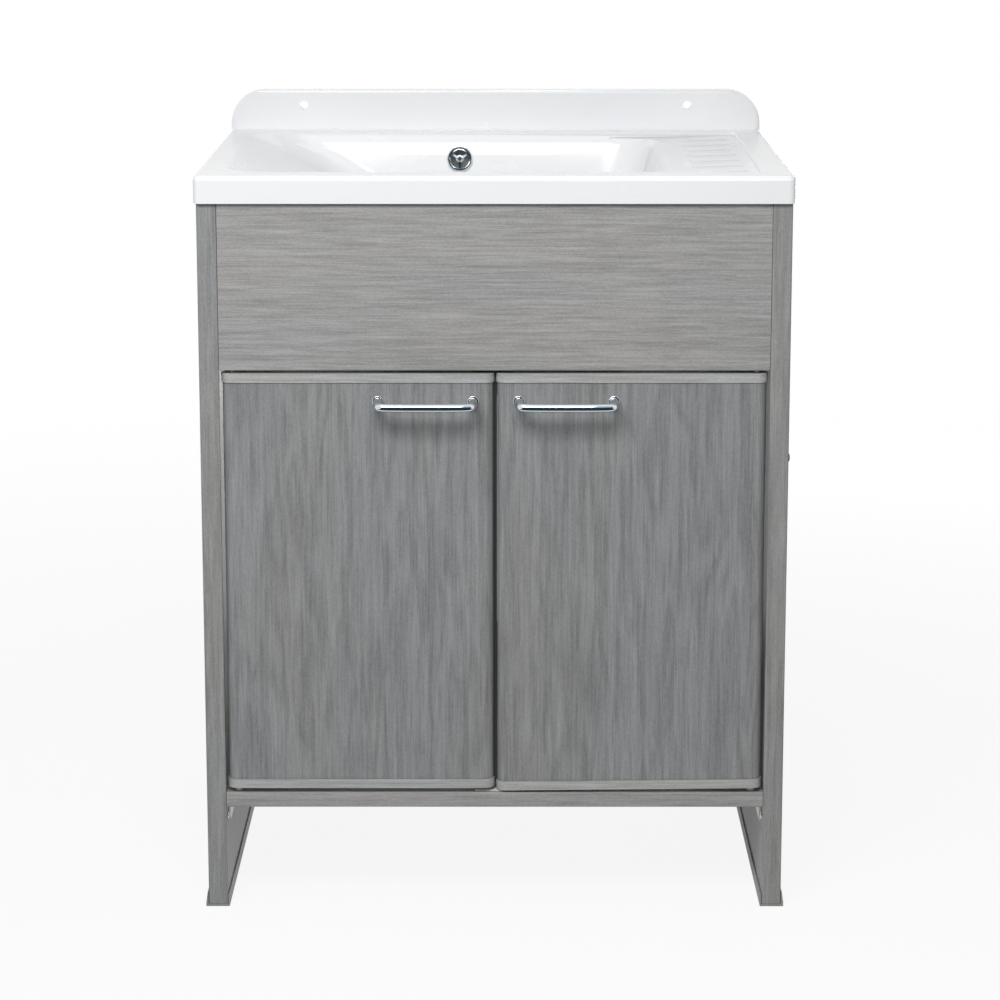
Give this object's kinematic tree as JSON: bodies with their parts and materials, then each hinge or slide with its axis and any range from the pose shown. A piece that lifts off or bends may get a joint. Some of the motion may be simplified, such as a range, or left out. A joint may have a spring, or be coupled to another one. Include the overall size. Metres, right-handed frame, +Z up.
{
  "type": "utility laundry sink with cabinet",
  "caption": "Moulded laundry basin with splashback, ribbed drainboard and overflow, on a wood-look cabinet with hinged doors, bow handles, a lift-out plug and a bottle trap.",
  "frame": {"origin": "on the floor, under the middle of the overall box", "axes": "+Z up, -Y to the front (doors and handles), +X to the viewer's right when facing the doors"},
  "size_m": [0.6006, 0.531, 0.806],
  "materials": {
    "basin_resin": "glossy white moulded resin",
    "cabinet_film": "warm grey wood-look film on hollow extruded board",
    "door_film": "cooler grey wood-look film with vertical grain",
    "trim_film": "grey wood-look profile with grain along its length",
    "handle_chrome": "polished chrome",
    "steel": "satin steel",
    "white_fitting": "satin white plastic",
    "grey_hose": "corrugated grey plastic",
    "black_rubber": "matte black rubber"
  },
  "bodies": {
    "cabinet": {"basin": "basin_resin", "overflow_grille": "handle_chrome", "overflow_screw": "handle_chrome", "overflow_gasket": "black_rubber", "overflow_body": "white_fitting", "overflow_hose": "grey_hose", "waste_strainer": "steel", "waste_gasket": "black_rubber", "waste_body": "white_fitting", "waste_screw": "steel", "trap_inlet_nut": "white_fitting", "trap_inlet_pipe": "white_fitting", "trap_top_nut": "white_fitting", "trap_body": "white_fitting", "trap_cup": "white_fitting", "trap_outlet_nut": "white_fitting", "outlet_pipe": "white_fitting", "wall_rosette": "white_fitting", "side_panel_left": "cabinet_film", "side_panel_right": "cabinet_film", "shelf_bolt_left": "steel", "shelf_bolt_right": "steel", "side_cap_right": "black_rubber", "foot_strip_left": "trim_film", "foot_strip_right": "trim_film", "fascia": "cabinet_film", "bottom_shelf": "cabinet_film", "rear_top_rail": "cabinet_film", "rear_bottom_rail": "cabinet_film", "shelf_angle_left": "white_fitting", "shelf_angle_right": "white_fitting", "fascia_angle_left": "white_fitting", "fascia_angle_right": "white_fitting", "rear_angle_left": "white_fitting", "rear_angle_right": "white_fitting", "upper_bush_left": "white_fitting", "upper_bush_right": "white_fitting", "lower_bush_left": "white_fitting", "lower_bush_right": "white_fitting", "door_catch": "white_fitting", "door_stop": "white_fitting"},
    "left_door": {"door_panel_left": "door_film", "door_top_cap_left": "trim_film", "door_bottom_cap_left": "trim_film", "pivot_rod_left": "steel", "handle_left": "handle_chrome", "handle_screw_left_inner": "steel", "handle_screw_left_outer": "steel", "strike_plate_left": "steel"},
    "right_door": {"door_panel_right": "door_film", "door_top_cap_right": "trim_film", "door_bottom_cap_right": "trim_film", "pivot_rod_right": "steel", "handle_right": "handle_chrome", "handle_screw_right_inner": "steel", "handle_screw_right_outer": "steel", "strike_plate_right": "steel"},
    "plug": {"waste_plug": "black_rubber", "plug_ring": "steel"}
  },
  "joints": [
    {"name": "left_door_hinge", "type": "hinge", "parent": "cabinet", "child": "left_door", "pos_m": [-0.2647, -0.2195, 0.345], "axis": [0, 0, -1], "range_deg": [0, 95]},
    {"name": "right_door_hinge", "type": "hinge", "parent": "cabinet", "child": "right_door", "pos_m": [0.2647, -0.2195, 0.345], "axis": [0, 0, 1], "range_deg": [0, 95]},
    {"name": "plug_lift", "type": "slide", "parent": "cabinet", "child": "plug", "axis": [0, 0, 1], "range_m": [0, 0.26]}
  ]
}
